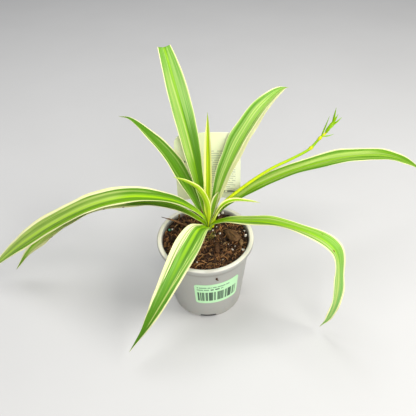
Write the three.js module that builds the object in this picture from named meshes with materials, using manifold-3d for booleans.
// A spider plant in its nursery pot: twelve striped strap leaves and one flower stalk on a short
// crown, rooted in potting soil, in a tapered plastic pot with a wrapped label and a care tag.
// Millimetres, +Z up. The origin is the middle of the pot's underside, and the front is -Y.

import * as THREE from "three";
import { mergeVertices } from "three/addons/utils/BufferGeometryUtils.js";
import Module from "manifold-3d";

const wasm = await Module();
wasm.setup();

// Driving dimensions of the pot
const POT_HEIGHT = 92;
const RIM_RADIUS = 52.5;
const RIM_INNER_RADIUS = 46.9;
const RIM_ROUND = 1.2;
const LIP_HEIGHT = 5;
const SHOULDER_Z = 83.5;
const SHOULDER_STEP = 1.4;
const WALL_TOP_RADIUS = 47.9;
const BASE_RADIUS = 39.5;
const FOOT_CHAMFER = 1;
const WALL = 1.5;
const FLOOR = 3.6;
const POT_SIDES = 56;
const NOTCH = { count: 4, width: 18, height: 2.1, depth: 9, firstHeading: -90 };
const DRAIN_HOLE_RADIUS = 3;

// Driving dimensions of what stands in the pot
const FIT_GAP = 0.35;
const SOIL_Z = 84;
const CROWN = { x: 4.1, y: 13.5 };
const BLADE = 0.8;
const BLADE_AT_BASE = 1.1;
const FOLD_POWER = 1.35;
const TIP_HALF_WIDTH = 0.35;
const LEAF_STATIONS = 24;
const LEAF_ACROSS = 4;

const radians = THREE.MathUtils.degToRad;

const MATERIAL = {
  pot: { color: 0xc9c9c4, roughness: 0.55 },
  soil: { color: 0x38241a, roughness: 0.95 },
  crown: { color: 0xc2cf7a, roughness: 0.6 },
  leaf: { color: 0x6f9a2c, roughness: 0.45 },
  youngLeaf: { color: 0xa3c72e, roughness: 0.45 },
  stalk: { color: 0xb4cc2c, roughness: 0.5 },
  driedLeaf: { color: 0x8a5a2e, roughness: 0.8 },
  bark: { color: 0x4c3421, roughness: 0.9 },
  tag: { color: 0xeeeede, roughness: 0.5 },
  label: { color: 0xb9e8c4, roughness: 0.5 },
};

const plant = new THREE.Group();

function addPiece(name, geometry, finish) {
  const material = new THREE.MeshStandardMaterial({ metalness: 0, ...finish });
  const mesh = new THREE.Mesh(geometry, material);
  mesh.name = name;
  plant.add(mesh);
}

// Solids for cutting and joining

function toSolid(geometry) {
  const bare = geometry.clone();
  bare.deleteAttribute("normal");
  bare.deleteAttribute("uv");
  const merged = mergeVertices(bare, 1e-4);
  const vertProperties = new Float32Array(merged.attributes.position.array);
  const triVerts = new Uint32Array(merged.index.array);
  return new wasm.Manifold(new wasm.Mesh({ numProp: 3, vertProperties, triVerts }));
}

function toGeometry(solid) {
  const mesh = solid.getMesh();
  const geometry = new THREE.BufferGeometry();
  geometry.setAttribute("position", new THREE.BufferAttribute(mesh.vertProperties, 3));
  geometry.setIndex(new THREE.BufferAttribute(mesh.triVerts, 1));
  return geometry;
}

function joined(geometries) {
  return toGeometry(geometries.map(toSolid).reduce((whole, piece) => whole.add(piece)));
}

// A closed ring-by-ring skin: each ring is a closed loop of points, and both ends get a cap of
// strips that run from side to side, so that the cap of a folded section stays inside it.
function skin(rings) {
  const sides = rings[0].length;
  const positions = rings.flat().flatMap((point) => [point.x, point.y, point.z]);
  const index = [];
  for (let i = 0; i < rings.length - 1; i++)
    for (let j = 0; j < sides; j++) {
      const a = i * sides + j;
      const b = i * sides + ((j + 1) % sides);
      index.push(a, b, a + sides, b, b + sides, a + sides);
    }
  const last = (rings.length - 1) * sides;
  for (let i = 0, k = sides - 1; i < k - 1; i++, k--) {
    index.push(i, k, i + 1);
    index.push(last + i, last + i + 1, last + k);
    if (i + 1 === k - 1) break;
    index.push(i + 1, k, k - 1);
    index.push(last + i + 1, last + k - 1, last + k);
  }
  const geometry = new THREE.BufferGeometry();
  geometry.setAttribute("position", new THREE.Float32BufferAttribute(positions, 3));
  geometry.setIndex(index);
  return geometry;
}

// A round bar along a path, with a radius given for each share of its length. A grown bar is
// that much thicker, and longer at both ends.
function bar(path, radiusAt, steps, sides, grown = 0) {
  const pushed = (end, next) => end.clone().add(end.clone().sub(next).setLength(1.2 * grown));
  const points = [pushed(path[0], path[1]), ...path.slice(1, -1), pushed(path.at(-1), path.at(-2))];
  const curve = curveOf(points);
  const frames = curve.computeFrenetFrames(steps, false);
  const rings = [];
  for (let i = 0; i <= steps; i++) {
    const centre = curve.getPointAt(i / steps);
    const radius = radiusAt(i / steps) + grown;
    const ring = [];
    for (let j = 0; j < sides; j++) {
      const turn = (2 * Math.PI * j) / sides;
      ring.push(
        centre
          .clone()
          .addScaledVector(frames.normals[i], radius * Math.cos(turn))
          .addScaledVector(frames.binormals[i], radius * Math.sin(turn)),
      );
    }
    rings.push(ring);
  }
  return skin(rings);
}

function curveOf(points) {
  return new THREE.CatmullRomCurve3(points, false, "catmullrom", 0.5);
}

// A point given as [out, up, aside] along a heading from the axis of the crown.
function fromCrown(heading, [out, up, aside = 0]) {
  const x = CROWN.x + out * Math.cos(heading) - aside * Math.sin(heading);
  const y = CROWN.y + out * Math.sin(heading) + aside * Math.cos(heading);
  return new THREE.Vector3(x, y, up);
}

function turned(profile, sides) {
  const points = profile.map(([radius, z]) => new THREE.Vector2(radius, z));
  return new THREE.LatheGeometry(points, sides).rotateX(Math.PI / 2);
}

// The pot's outer wall is a plain cone from the base to the shoulder.
function wallRadius(z) {
  return BASE_RADIUS + ((WALL_TOP_RADIUS - BASE_RADIUS) * z) / SHOULDER_Z;
}

function innerRadius(z) {
  return wallRadius(z) - WALL;
}

// Pot: a moulded shell with a rolled rim, a shoulder ring and drain notches under its foot.
function makePot() {
  const shell = toSolid(
    turned(
      [
        [0, 0],
        [BASE_RADIUS - FOOT_CHAMFER, 0],
        [BASE_RADIUS, FOOT_CHAMFER],
        [wallRadius(SHOULDER_Z), SHOULDER_Z - 1],
        [wallRadius(SHOULDER_Z) + SHOULDER_STEP, SHOULDER_Z],
        [wallRadius(SHOULDER_Z) + SHOULDER_STEP, POT_HEIGHT - LIP_HEIGHT],
        [RIM_RADIUS - RIM_ROUND / 2, POT_HEIGHT - LIP_HEIGHT],
        [RIM_RADIUS, POT_HEIGHT - LIP_HEIGHT + RIM_ROUND],
        [RIM_RADIUS, POT_HEIGHT - RIM_ROUND],
        [RIM_RADIUS - RIM_ROUND, POT_HEIGHT],
        [RIM_INNER_RADIUS + RIM_ROUND, POT_HEIGHT],
        [RIM_INNER_RADIUS, POT_HEIGHT - RIM_ROUND],
        [innerRadius(SHOULDER_Z), SHOULDER_Z],
        [innerRadius(FLOOR), FLOOR],
        [0, FLOOR],
      ],
      POT_SIDES,
    ),
  );
  let pot = shell;
  for (let i = 0; i < NOTCH.count; i++) {
    const heading = radians(NOTCH.firstHeading + (360 * i) / NOTCH.count);
    const middle = BASE_RADIUS + FOOT_CHAMFER - NOTCH.depth / 2;
    const notch = new THREE.BoxGeometry(NOTCH.depth, NOTCH.width, 2 * NOTCH.height)
      .translate(middle, 0, 0)
      .rotateZ(heading);
    const hole = new THREE.CylinderGeometry(DRAIN_HOLE_RADIUS, DRAIN_HOLE_RADIUS, 3 * FLOOR, 16)
      .rotateX(Math.PI / 2)
      .translate(middle, 0, 0)
      .rotateZ(heading);
    pot = pot.subtract(toSolid(notch)).subtract(toSolid(hole));
  }
  addPiece("pot", toGeometry(pot), MATERIAL.pot);
}

// Crown and roots: a short stem that tapers to the youngest leaf, on tapered fleshy roots.
const ROOTS = [
  { heading: 10, spread: 26, depth: 66, radius: 2.6 },
  { heading: 62, spread: 20, depth: 58, radius: 2.2 },
  { heading: 118, spread: 27, depth: 62, radius: 2.8 },
  { heading: 170, spread: 22, depth: 70, radius: 2.3 },
  { heading: 225, spread: 28, depth: 60, radius: 2.7 },
  { heading: 290, spread: 25, depth: 68, radius: 2.4 },
];
const ROOT_TOP_Z = 76;
const ROOT_REACH = [0.1, 0.45, 0.85, 1];
const ROOT_DROP = [0, 0.2, 0.6, 1];
const CROWN_PROFILE = [
  [0, 70],
  [3.2, 71],
  [5.2, 76],
  [5.2, 82],
  [4.4, 87],
  [3.1, 89.8],
  [2.2, 91.6],
  [1.3, 93.2],
  [0, 93.9],
];

function rootPath(root) {
  const heading = radians(root.heading);
  return ROOT_REACH.map((share, i) => {
    const out = root.spread * share;
    const x = CROWN.x + out * Math.cos(heading);
    const y = CROWN.y + out * Math.sin(heading);
    return new THREE.Vector3(x, y, ROOT_TOP_Z - root.depth * ROOT_DROP[i]);
  });
}

function crownSolid(grown) {
  const profile = CROWN_PROFILE.map(([radius, z]) => [radius && radius + grown, z - grown]);
  const stem = turned(profile, 20).translate(CROWN.x, CROWN.y, 0);
  const roots = ROOTS.map((root) => {
    const swollen = (t) => root.radius * (0.55 + 1.6 * t * (1 - t)) * (1 - 0.6 * t ** 4);
    return bar(rootPath(root), swollen, 8, 6, 1.8 * grown);
  });
  return [stem, ...roots].map(toSolid).reduce((whole, piece) => whole.add(piece));
}

function makeCrown() {
  addPiece("crown_and_roots", toGeometry(crownSolid(0)), MATERIAL.crown);
}

// Bark chip: a split flake of bark, pressed a little way into the soil.
const CHIP = { x: 29.5, y: 5.2, z: 86.2, long: 23, wide: 12, thick: 5.4, heading: -56 };

function chipGeometry(grown) {
  const outline = [
    [-0.5, -0.28],
    [-0.3, -0.5],
    [0.28, -0.46],
    [0.5, -0.12],
    [0.44, 0.36],
    [0.05, 0.5],
    [-0.42, 0.38],
  ];
  const levels = [
    [0.8, -0.5],
    [1, -0.12],
    [0.94, 0.3],
    [0.66, 0.5],
  ];
  const rings = levels.map(([share, level]) =>
    outline.map(
      ([along, across]) =>
        new THREE.Vector3(
          along * share * (CHIP.long + 2 * grown),
          across * share * (CHIP.wide + 2 * grown),
          level * (CHIP.thick + 2 * grown) + 0.05 * CHIP.long * along,
        ),
    ),
  );
  return skin(rings).rotateZ(radians(CHIP.heading)).translate(CHIP.x, CHIP.y, CHIP.z);
}

function makeChip() {
  addPiece("bark_chip", chipGeometry(0), MATERIAL.bark);
}

// Soil: it fills the pot, is rough on top, and has a plain hole for what stands in it.
const SOIL_RINGS = 8;
const SOIL_SIDES = 40;
const SOIL_EDGE_Z = 78;

// Height of the rough top: a shallow dish with low lumps, as sums of sine waves across the pot.
function soilTop(x, y) {
  const dish = 1.5 * ((x * x + y * y) / 2200) ** 2;
  const lumps =
    0.8 * Math.sin(0.31 * x + 1.3) * Math.sin(0.27 * y + 0.4) +
    0.55 * Math.sin(0.62 * x - 0.48 * y + 2.1) +
    0.4 * Math.sin(0.9 * y + 0.35 * x);
  return SOIL_Z + dish + lumps;
}

function soilBody() {
  const ring = (radius, height) =>
    Array.from({ length: SOIL_SIDES }, (_, j) => {
      const turn = (2 * Math.PI * j) / SOIL_SIDES;
      const x = radius * Math.cos(turn);
      const y = radius * Math.sin(turn);
      return new THREE.Vector3(x, y, height ?? soilTop(x, y));
    });
  const clearOfWall = (z) => (innerRadius(z) - FIT_GAP) * Math.cos(Math.PI / POT_SIDES);
  const bottom = FLOOR + FIT_GAP;
  const topRadius = clearOfWall(SOIL_EDGE_Z);
  const rings = [ring(clearOfWall(bottom), bottom), ring(topRadius, SOIL_EDGE_Z)];
  for (let i = SOIL_RINGS; i > 0; i--) rings.push(ring((topRadius * i) / SOIL_RINGS));
  return skin(rings);
}

function makeSoil() {
  const soil = toSolid(soilBody())
    .subtract(crownSolid(FIT_GAP))
    .subtract(toSolid(chipGeometry(FIT_GAP)))
    .subtract(toSolid(tagStake(FIT_GAP)))
    .subtract(toSolid(driedLeafGeometry(FIT_GAP)));
  addPiece("soil", toGeometry(soil), MATERIAL.soil);
}

// Leaves: each is one folded strap along a path of [out, up, aside] from the crown, out along
// its heading in degrees. Base is the share of the full width at the crown, which the leaf
// reaches at widest, a share of its length; taper shapes the tip, fold the depth of the channel,
// wave the ripple of its margins, and twists turn the blade, from crown to tip, in degrees.
const LEAVES = [
  {
    name: "leaf_left_upper",
    heading: 178,
    path: [
      [3.6, 90.6, 0.5], [6.2, 106], [17.6, 119.8], [40, 132.6], [81, 138], [123.5, 128], [171, 102.5],
      [217, 69.5], [265.5, 27.5],
    ],
    width: 27.5, base: 0.115, widest: 0.4, taper: 2.8, fold: 0.3, wave: 0.05, twists: [0, 0, 15, 35, 40],
  },
  {
    name: "leaf_left_lower",
    heading: 177,
    path: [
      [5.2, 87.4, 1.4], [8.2, 100.5, 1.6], [19.8, 112.6, 1.2], [41, 122.5, 0.5], [82, 127.5], [125.5, 116.5],
      [176, 86], [210, 55], [239, 19.5],
    ],
    width: 19, base: 0.19, widest: 0.38, taper: 3, fold: 0.3, wave: 0.04, twists: [0, 0, 12, 25, 25],
  },
  {
    name: "leaf_back_left",
    heading: 145,
    path: [
      [5.2, 87.6, -0.6], [10.2, 105.5, -1.4], [26.4, 135.5, -1.6], [46.5, 168], [69.5, 186], [93, 198.5],
      [110.5, 197.5],
    ],
    width: 20, base: 0.18, widest: 0.5, taper: 1.15, fold: 0.35, wave: 0.04, twists: [0, 0, 0],
  },
  {
    name: "leaf_back_tall",
    heading: 116,
    path: [
      [3.6, 90.6, 0.1], [7, 103.5, -0.2], [21.5, 138.5, -0.4], [38.5, 180, -0.4], [57.5, 218.5, -0.4],
      [75.5, 249, -0.4], [86, 261, -1], [93.5, 260, -3.5], [100, 248, -7], [102, 236, -9],
    ],
    width: 23, base: 0.15, widest: 0.6, taper: 2.6, fold: 0.25, wave: 0.03, twists: [0, 0, 0],
  },
  {
    name: "leaf_back_right",
    heading: 43,
    path: [
      [3.6, 90.8, 1.8], [6.8, 108.5, 0.9], [21.6, 143.5], [42.8, 174.3], [69.5, 199.3], [92.5, 210.8],
      [111, 214.8], [124, 212.8],
    ],
    width: 25, base: 0.14, widest: 0.55, taper: 2.4, fold: 0.35, wave: 0.03, twists: [0, 0, 0],
  },
  {
    name: "leaf_centre_young",
    heading: 90,
    path: [
      [2.1, 93.5, 0.5], [3.4, 110, 1.3], [3, 125, 0.6], [2, 155.5, -0.7], [4, 196.5, -1.7], [8.3, 229, -2.7],
    ],
    width: 9, base: 0.24, widest: 0.3, taper: 3.4, fold: 0.5, wave: 0, twists: [0, 0, 0], young: true,
  },
  {
    name: "leaf_small_left",
    heading: 200,
    path: [[1.2, 93.4, 1.6], [0.6, 110, 3.4], [3.2, 133, 3.6], [10.3, 151, 2.2], [22.5, 164, 1.2], [35, 172]],
    width: 9.5, base: 0.25, widest: 0.45, taper: 2, fold: 0.5, wave: 0, twists: [-60, -55, -20, 40],
    young: true,
  },
  {
    name: "leaf_small_right",
    heading: 2,
    path: [
      [3.5, 90.6, -2.2], [6, 106, -4.6], [10.6, 118.5, -4.7], [17.5, 126.3, -2.6], [27.8, 129, -1], [43, 126.3],
      [55, 123.3],
    ],
    width: 6.8, base: 0.22, widest: 0.5, taper: 1.8, fold: 0.5, wave: 0, twists: [0, 0, 0], young: true,
  },
  {
    name: "leaf_small_inner",
    heading: 40,
    path: [[1.8, 93.5, -0.1], [4.2, 109, -1.8], [9.5, 124, -1.1], [14.9, 134.5, -1]],
    width: 8, base: 0.16, widest: 0.7, taper: 2.2, fold: 0.5, wave: 0, twists: [0, 0, 0], young: true,
  },
  {
    name: "leaf_right_upper",
    heading: 18,
    path: [
      [5.6, 87.6, 1.5], [9.6, 106.5, 1], [21.4, 118.4], [38, 126], [61.5, 135.5], [107, 143.5], [158, 144],
      [208.5, 134.5], [249, 116], [282.5, 92.5],
    ],
    width: 19, base: 0.2, widest: 0.4, taper: 3.5, fold: 0.3, wave: 0.08, twists: [0, 0, -10, -25, -30],
  },
  {
    name: "leaf_right_lower",
    heading: -33,
    path: [
      [5.6, 87.2, -1.1], [8.6, 100, -0.6], [19.8, 110.4], [39, 119.4], [73.5, 132.6], [110, 137.5],
      [133.5, 131.5], [143.5, 114], [149.5, 66.5], [147.5, 32], [140.5, 7.5],
    ],
    width: 15.5, base: 0.26, widest: 0.16, taper: 4.5, fold: 0.3, wave: 0.05, twists: [-12, -4, 0, -35, -45],
  },
  {
    name: "leaf_front",
    heading: 240,
    path: [
      [5.2, 87.4, 0.8], [12.4, 101, 1], [26.2, 111, 0.4], [46.5, 104, 0.4], [75, 90.2, 0.4], [98.3, 73.4, -2.2],
      [119.6, 49, -8.8], [139, 27.7, -18],
    ],
    width: 28.5, base: 0.16, widest: 0.3, taper: 1.35, fold: 0.2, wave: 0.03, twists: [0, 0, 0, -40],
  },
];

// One value of a list spread evenly along the leaf, by the same curve as its path.
function along(values, t) {
  const padded = [2 * values[0] - values[1], ...values, 2 * values.at(-1) - values.at(-2)];
  const place = t * (values.length - 1);
  const i = Math.min(Math.floor(place), values.length - 2);
  const f = place - i;
  const [a, b, c, d] = padded.slice(i, i + 4);
  const slope = 0.5 * (c - a);
  const square = a - 2.5 * b + 2 * c - 0.5 * d;
  const cube = 1.5 * (b - c) + 0.5 * (d - a);
  return b + slope * f + square * f ** 2 + cube * f ** 3;
}

function leafHalfWidth(leaf, t) {
  const swell = Math.sin((Math.PI / 2) * Math.min(t / leaf.widest, 1)) ** 1.5;
  const growth = leaf.base + (1 - leaf.base) * swell;
  const fall = 1 - Math.max(0, (t - leaf.widest) / (1 - leaf.widest)) ** leaf.taper;
  return Math.max((leaf.width / 2) * growth * fall, TIP_HALF_WIDTH);
}

function leafGeometry(leaf) {
  const heading = radians(leaf.heading);
  const aside = new THREE.Vector3(-Math.sin(heading), Math.cos(heading), 0);
  const curve = curveOf(leaf.path.map((point) => fromCrown(heading, point)));
  const rings = [];
  for (let i = 0; i <= LEAF_STATIONS; i++) {
    const t = i / LEAF_STATIONS;
    const centre = curve.getPointAt(t);
    const tangent = curve.getTangentAt(t);
    const level = aside.clone().negate().addScaledVector(tangent, aside.dot(tangent)).normalize();
    const side = level.applyAxisAngle(tangent, -radians(along(leaf.twists, t)));
    const face = side.clone().cross(tangent);
    const half = leafHalfWidth(leaf, t);
    const thick = BLADE + (BLADE_AT_BASE - BLADE) * Math.max(0, 1 - 5 * t);
    const upper = [];
    const lower = [];
    for (let j = 0; j <= LEAF_ACROSS; j++) {
      const u = (2 * j) / LEAF_ACROSS - 1;
      const ripple = leaf.wave * u * Math.abs(u) * Math.sin(2 * Math.PI * (3 * t + 0.1));
      const rise = half * (leaf.fold * Math.abs(u) ** FOLD_POWER + ripple);
      const top = centre.clone().addScaledVector(side, half * u).addScaledVector(face, rise);
      upper.push(top);
      lower.unshift(top.clone().addScaledVector(face, -thick));
    }
    rings.push([...upper, ...lower]);
  }
  return skin(rings);
}

function makeLeaves() {
  for (const leaf of LEAVES) {
    addPiece(leaf.name, leafGeometry(leaf), leaf.young ? MATERIAL.youngLeaf : MATERIAL.leaf);
  }
}

// Flower stalk: a wiry stem with two swollen nodes, two thin bracts at the second and a head
// of buds and narrow bracts at its end, each sunk into the stem.
const STALK_HEADING = radians(22);
const STALK_PATH = [
  [3.8, 92.2, -1.1], [5.9, 104, -2], [11.2, 116, -1.8], [24.8, 125.2, -0.2], [48.5, 137.8],
  [72.8, 147.5], [96.9, 152.8], [112.7, 156.6], [122.2, 160.5], [132.1, 170.2], [139, 175],
  [144.2, 181], [148, 191],
];
const STALK_RADIUS = 1.55;
const STALK_NODES = { places: [0.781, 0.855], swelling: 0.7, length: 0.012 };
const BRACTS = [
  { at: 0.862, reach: [9, 20, -2], radius: 0.8 },
  { at: 0.868, reach: [18.5, -4, 3], radius: 0.7 },
  { at: 0.89, reach: [10.5, 17, 0], radius: 2 },
  { at: 0.93, reach: [9.5, 1.2, 4], radius: 0.5 },
  { at: 0.95, reach: [6.6, 8, 1], radius: 1.1 },
  { at: 0.95, reach: [10.5, 5.5, -2], radius: 0.9 },
  { at: 0.96, reach: [1.2, 19, 0], radius: 1.2 },
];

function stalkRadius(t) {
  const bump = (place) => Math.exp(-(((t - place) / STALK_NODES.length) ** 2));
  const swollen = STALK_NODES.places.reduce((sum, place) => sum + bump(place), 0);
  return STALK_RADIUS * (1 - 0.3 * t) * (1 - 0.6 * t ** 12) + STALK_NODES.swelling * swollen;
}

// One bract: a narrow bud that leaves the stem at a share of its length and sags a little.
function bract(stem, { at, reach, radius }) {
  const root = stem.getPointAt(at);
  const lean = fromCrown(STALK_HEADING, reach).sub(new THREE.Vector3(CROWN.x, CROWN.y, 0));
  const belly = root.clone().addScaledVector(lean, 0.45).add(new THREE.Vector3(0, 0, -0.8));
  return bar([root, belly, root.clone().add(lean)], (t) => 0.3 + radius * Math.sin(Math.PI * t ** 0.7), 7, 6);
}

function makeStalk() {
  const path = STALK_PATH.map((point) => fromCrown(STALK_HEADING, point));
  const bracts = BRACTS.map((each) => bract(curveOf(path), each));
  addPiece("flower_stalk", joined([bar(path, stalkRadius, 48, 7), ...bracts]), MATERIAL.stalk);
}

// Dried leaf: the oldest leaf, shrunk to a brown strip that lies over the soil and the rim.
const DRIED_LEAF = {
  path: [
    [-2.8, 10.9, 85.2],
    [-12, 15.5, 86.2],
    [-22, 20.6, 88.8],
    [-34, 25.2, 92.1],
    [-42, 28, 93.3],
    [-49, 30.2, 94.1],
  ],
  radius: 1.2,
};

function driedLeafGeometry(grown) {
  const path = DRIED_LEAF.path.map((point) => new THREE.Vector3(...point));
  const shape = (t) => (1 - 0.65 * t ** 3) * (0.7 + 0.5 * Math.sin(Math.PI * t));
  return bar(path, (t) => DRIED_LEAF.radius * shape(t), 14, 6, 1.2 * grown);
}

function makeDriedLeaf() {
  addPiece("dried_leaf", driedLeafGeometry(0), MATERIAL.driedLeaf);
}

// A thin card of rounded outline: pointOf(across, up, depth) bends it into its place, where
// across runs over its width, up over its height and depth from its front, 0, to its back, 1.
function card(width, height, corner, pointOf) {
  const flat = width / 2 - corner;
  const places = [];
  for (let i = 4; i > 0; i--) places.push(-flat - corner * Math.sin((Math.PI * i) / 8));
  for (let i = -5; i <= 5; i++) places.push((flat * i) / 5);
  for (let i = 1; i <= 4; i++) places.push(flat + corner * Math.sin((Math.PI * i) / 8));
  const rings = places.map((across) => {
    const past = Math.max(0, Math.abs(across) - flat);
    const cut = corner - Math.sqrt(Math.max(0, corner ** 2 - past ** 2));
    return [
      pointOf(across, cut, 0),
      pointOf(across, cut, 1),
      pointOf(across, height - cut, 1),
      pointOf(across, height - cut, 0),
    ];
  });
  return skin(rings);
}

// Care tag: a printed plastic card, bowed a little, on a stake pushed into the soil.
const TAG = {
  x: 5.7, y: 44, bottom: 108.5, width: 70, height: 76, corner: 9, thick: 0.8,
  bow: 155, lean: 11, stakeWidth: 14, stakeBottom: 46,
};

function tagPoint(across, z, depth) {
  const bowed = TAG.bow - Math.sqrt(TAG.bow ** 2 - across ** 2);
  const leaned = (z - TAG.bottom) * Math.tan(radians(TAG.lean));
  return new THREE.Vector3(TAG.x + across, TAG.y - bowed + leaned + depth, z);
}

function tagStake(grown) {
  const half = TAG.stakeWidth / 2 + grown;
  const levels = [
    [1.5 + grown, TAG.stakeBottom - grown],
    [half, TAG.stakeBottom + 12],
    [half, TAG.bottom + 6],
  ];
  const rings = levels.map(([reach, z]) =>
    [[-reach, 1], [-reach, 0], [reach, 0], [reach, 1]].map(([across, back]) =>
      tagPoint(0, z, back * (TAG.thick + 2 * grown) - grown).setX(TAG.x + across),
    ),
  );
  return skin(rings);
}

function makeTag() {
  const face = card(TAG.width, TAG.height, TAG.corner, (across, up, depth) =>
    tagPoint(across, TAG.bottom + up, depth * TAG.thick),
  );
  addPiece("care_tag", joined([face, tagStake(0)]), MATERIAL.tag);
}

// Label: a printed sticker wrapped on the front of the pot, where turn is its middle in degrees
// round from the front.
const LABEL = { turn: 14.9, bottom: 29.9, width: 50, height: 35, corner: 4, thick: 0.5 };

function makeLabel() {
  const sticker = card(LABEL.width, LABEL.height, LABEL.corner, (across, up, depth) => {
    const z = LABEL.bottom + up;
    const radius = wallRadius(z) + FIT_GAP + LABEL.thick * (1 - depth);
    const turn = radians(LABEL.turn) + across / wallRadius(LABEL.bottom + LABEL.height / 2);
    return new THREE.Vector3(radius * Math.sin(turn), -radius * Math.cos(turn), z);
  });
  addPiece("pot_label", sticker, MATERIAL.label);
}

makePot();
makeSoil();
makeCrown();
makeChip();
makeLeaves();
makeStalk();
makeDriedLeaf();
makeTag();
makeLabel();

export default plant;
